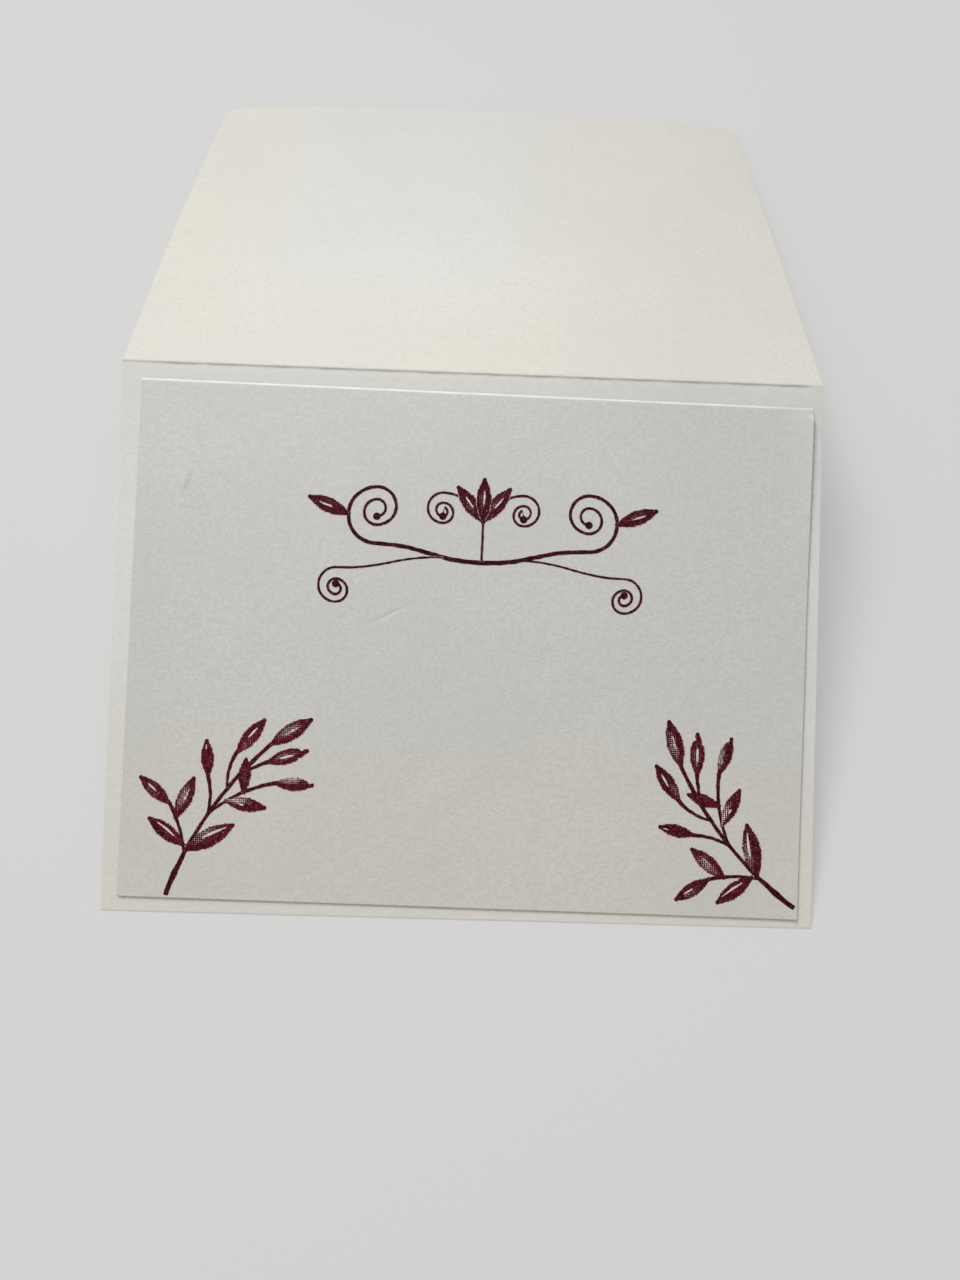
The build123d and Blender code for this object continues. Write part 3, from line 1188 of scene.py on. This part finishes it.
left_root = Vector((left_root_inset - liner_width / 2, left_root_rise - liner_height / 2, 0))
right_root = Vector((liner_width / 2 - right_root_inset, right_root_rise - liner_height / 2, 0))
left_place = turned(left_root, left_sprig_angle)
right_place = turned(right_root, right_sprig_angle)
flourish_place = turned(Vector((flourish_shift, flourish_rise, 0)), 0)
stamp_on_liner(lay_sprig(), "left_sprig", left_place, sprig_ink, "left_sprig_print")
stamp_on_liner(lay_sprig(), "right_sprig", right_place, right_ink, "right_sprig_print")
stamp_on_liner(lay_flourish(), "flourish", flourish_place, flourish_ink, "flourish_print")

# Tape under the liner
tape_film, tree, shader, vector = new_material("tape_film")
patchy = noise(tree, vector, tape_noise)
shade = blend_colour(tree, patchy, tape_dim, tape_clear)
roughness = blend_value(tree, patchy, tape_roughness)
finish_shader(tree, shader, shade, roughness, patchy, tape_bump_depth, tape_bump_strength)
tape_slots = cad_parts["adhesive_strips"].data.materials
tape_slots.clear()
tape_slots.append(tape_film)


# Stage helpers
def seen_rays(tree):
    """1 for rays by which a surface is seen, straight or in a shine, and 0 for those that only light."""
    rays = add_node(tree, "ShaderNodeLightPath").outputs
    return largest(tree, rays["Is Camera Ray"], rays["Is Glossy Ray"], rays["Is Transmission Ray"])


def mix_shaders(tree, share, first, second, end):
    """Feed the end of a tree with a mix of two shaders."""
    mix = add_node(tree, "ShaderNodeMixShader")
    tree.links.new(share, mix.inputs[0])
    tree.links.new(first.outputs[0], mix.inputs[1])
    tree.links.new(second.outputs[0], mix.inputs[2])
    tree.links.new(mix.outputs[0], tree.nodes[end].inputs["Surface"])


def add_lamp(name, size, power, colour, place):
    """Square lamp that the camera doesn't see."""
    light = bpy.data.lights.new(name, "AREA")
    light.shape = "SQUARE"
    light.size = size
    light.energy = power
    light.color = colour
    lamp = add_object(name, light)
    lamp.location = place
    lamp.visible_camera = False
    return lamp


# Floor, which fades in to the backdrop away from the card
floor_mesh = bpy.data.meshes.new("floor")
floor_bm = bmesh.new()
bmesh.ops.create_grid(floor_bm, x_segments=1, y_segments=1, size=floor_half)
bmesh.ops.translate(floor_bm, vec=(0, 0, -floor_drop), verts=floor_bm.verts)
floor_bm.to_mesh(floor_mesh)
floor_bm.free()
floor = add_object("floor", floor_mesh)
floor_paint, tree, shader, vector = new_material("floor_paint")
shader.inputs["Base Color"].default_value = floor_grey
shader.inputs["Roughness"].default_value = floor_roughness
glow = add_node(tree, "ShaderNodeEmission")
glow.inputs["Color"].default_value = backdrop_grey
reach = add_node(tree, "ShaderNodeVectorMath", operation="LENGTH")
tree.links.new(vector, reach.inputs[0])
far = ramp(tree, reach.outputs["Value"], floor_far_span)
glow_share = times(tree, seen_rays(tree), blend_value(tree, far, floor_glow_range))
mix_shaders(tree, glow_share, shader, glow, "Material Output")
floor_mesh.materials.append(floor_paint)

# Soft light from the upper left, and a weak lamp above the fold, from where the cover grows dimmer
window_place = window_direction * window_distance
window = add_lamp("window_light", window_size, window_power, window_white, window_place)
window.rotation_euler = window_direction.to_track_quat("Z", "Y").to_euler()
add_lamp("near_light", near_size, near_power, near_white, near_place)

# Even sky, which is seen as a pale backdrop
sky = bpy.data.worlds.new("sky")
scene.world = sky
sky.use_nodes = True
sky_tree = sky.node_tree
sky_light = sky_tree.nodes["Background"]
sky_light.inputs["Color"].default_value = sky_white
sky_light.inputs["Strength"].default_value = sky_strength
backdrop = add_node(sky_tree, "ShaderNodeBackground")
backdrop.inputs["Color"].default_value = backdrop_grey
mix_shaders(sky_tree, seen_rays(sky_tree), sky_light, backdrop, "World Output")

# Camera: straight at the lined panel from in front of it, with a small tilt
camera_data = bpy.data.cameras.new("camera")
camera_data.sensor_width = camera_sensor
camera_data.lens = camera_lens
camera_data.clip_start = camera_near
camera = add_object("camera", camera_data)
view_tilt = Matrix.Identity(4)
for axis, turn in camera_turns:
    view_tilt = view_tilt @ Matrix.Rotation(radians(turn), 4, axis)
camera_place = to_metres @ panel_frame @ Matrix.Translation(camera_offset) @ view_tilt
camera.location = camera_place.to_translation()
camera.rotation_euler = camera_place.to_euler()
scene.camera = camera
scene.view_settings.view_transform = "Standard"
